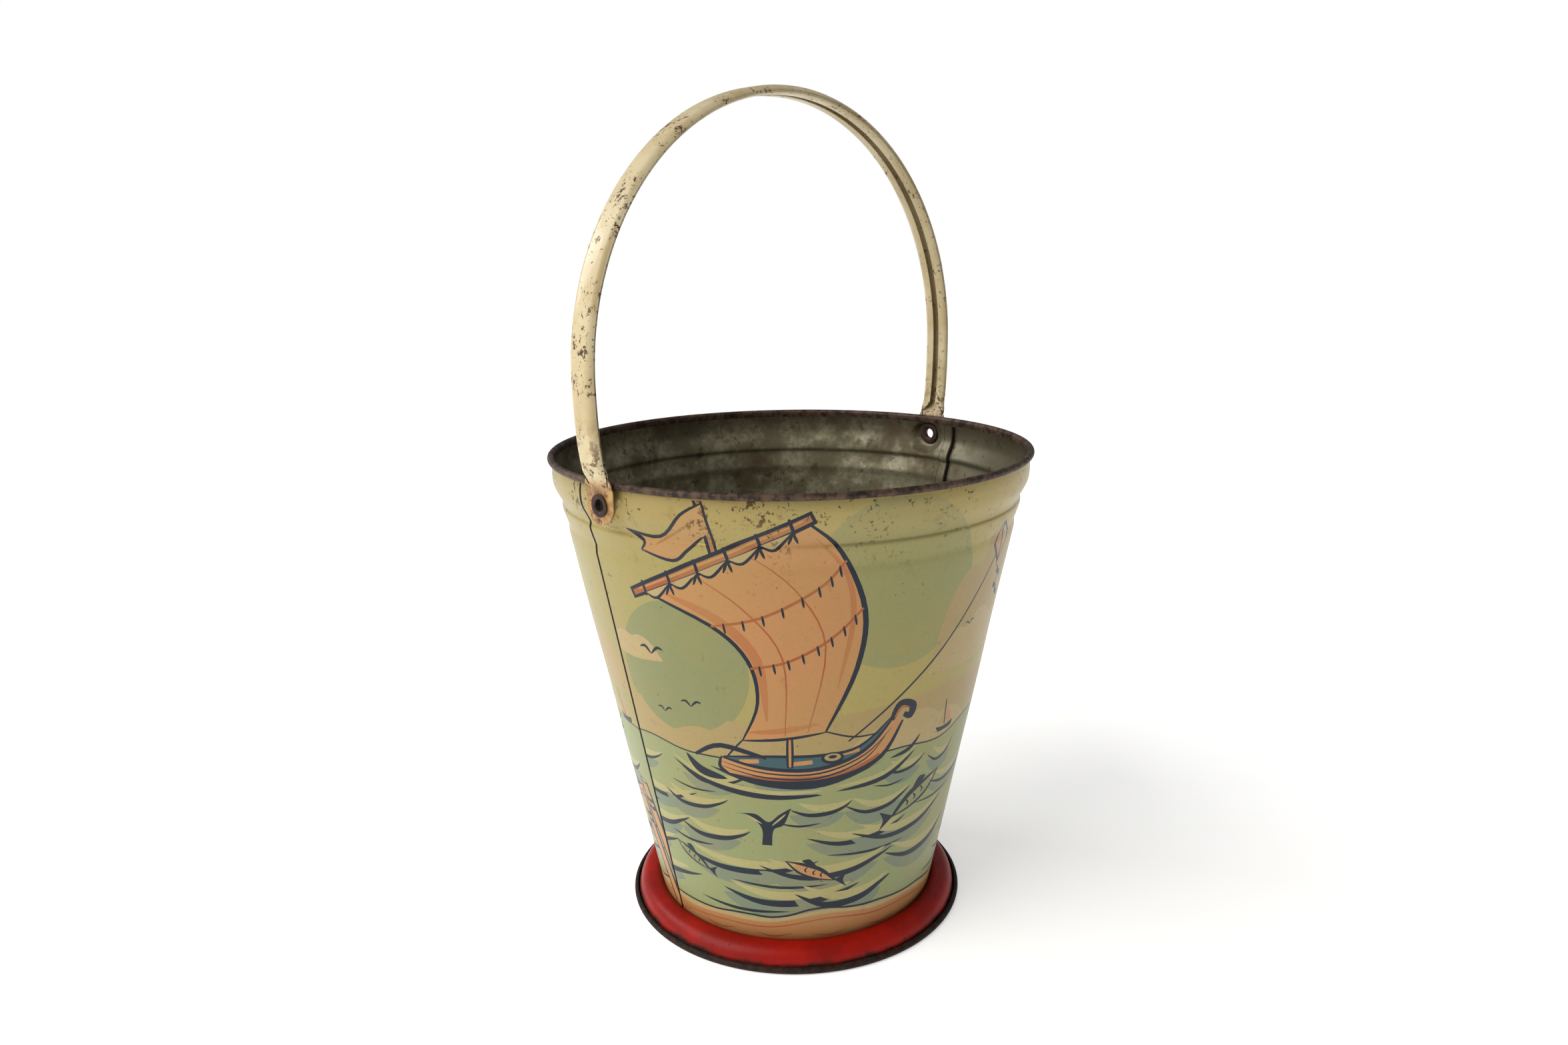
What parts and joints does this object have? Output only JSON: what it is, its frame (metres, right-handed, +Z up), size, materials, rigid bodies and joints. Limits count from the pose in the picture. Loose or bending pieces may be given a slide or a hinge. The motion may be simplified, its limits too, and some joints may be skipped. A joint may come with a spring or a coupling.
{
  "type": "sand bucket",
  "caption": "Tapered tinplate sand pail with a beaded collar, rolled rim, flared red foot ring, riveted ears and an upright hollow strap handle that swings over either side.",
  "frame": {"origin": "centre of the foot ring, on the surface that the bucket stands on", "axes": "+Z up through the mouth; X along the handle's hinge, with the right ear at +X; +Y to the rear panel's middle"},
  "size_m": [0.1926, 0.1796, 0.3083],
  "materials": {
    "printed_tinplate": "varnished offset print on tinplate, worn and speckled with rust; bare dull tinplate inside",
    "rim_wire_steel": "plain drawn steel wire inside the rolled rim",
    "plain_tinplate": "dull tinplate with light rust",
    "red_enamel": "stoved red enamel with a dark worn edge",
    "cream_enamel": "stoved cream enamel, chipped to brown rust",
    "rusted_eyelet": "bare steel with even brown rust"
  },
  "bodies": {
    "bucket": {"front_panel": "printed_tinplate", "rear_panel": "printed_tinplate", "rim_wire": "rim_wire_steel", "bottom_plate": "plain_tinplate", "foot_ring": "red_enamel", "left_eyelet": "rusted_eyelet", "right_eyelet": "rusted_eyelet"},
    "handle": {"handle": "cream_enamel"}
  },
  "joints": [
    {"name": "handle_swing", "type": "hinge", "parent": "bucket", "child": "handle", "pos_m": [0, 0, 0.174], "axis": [1, 0, 0], "range_deg": [-145, 145]}
  ]
}
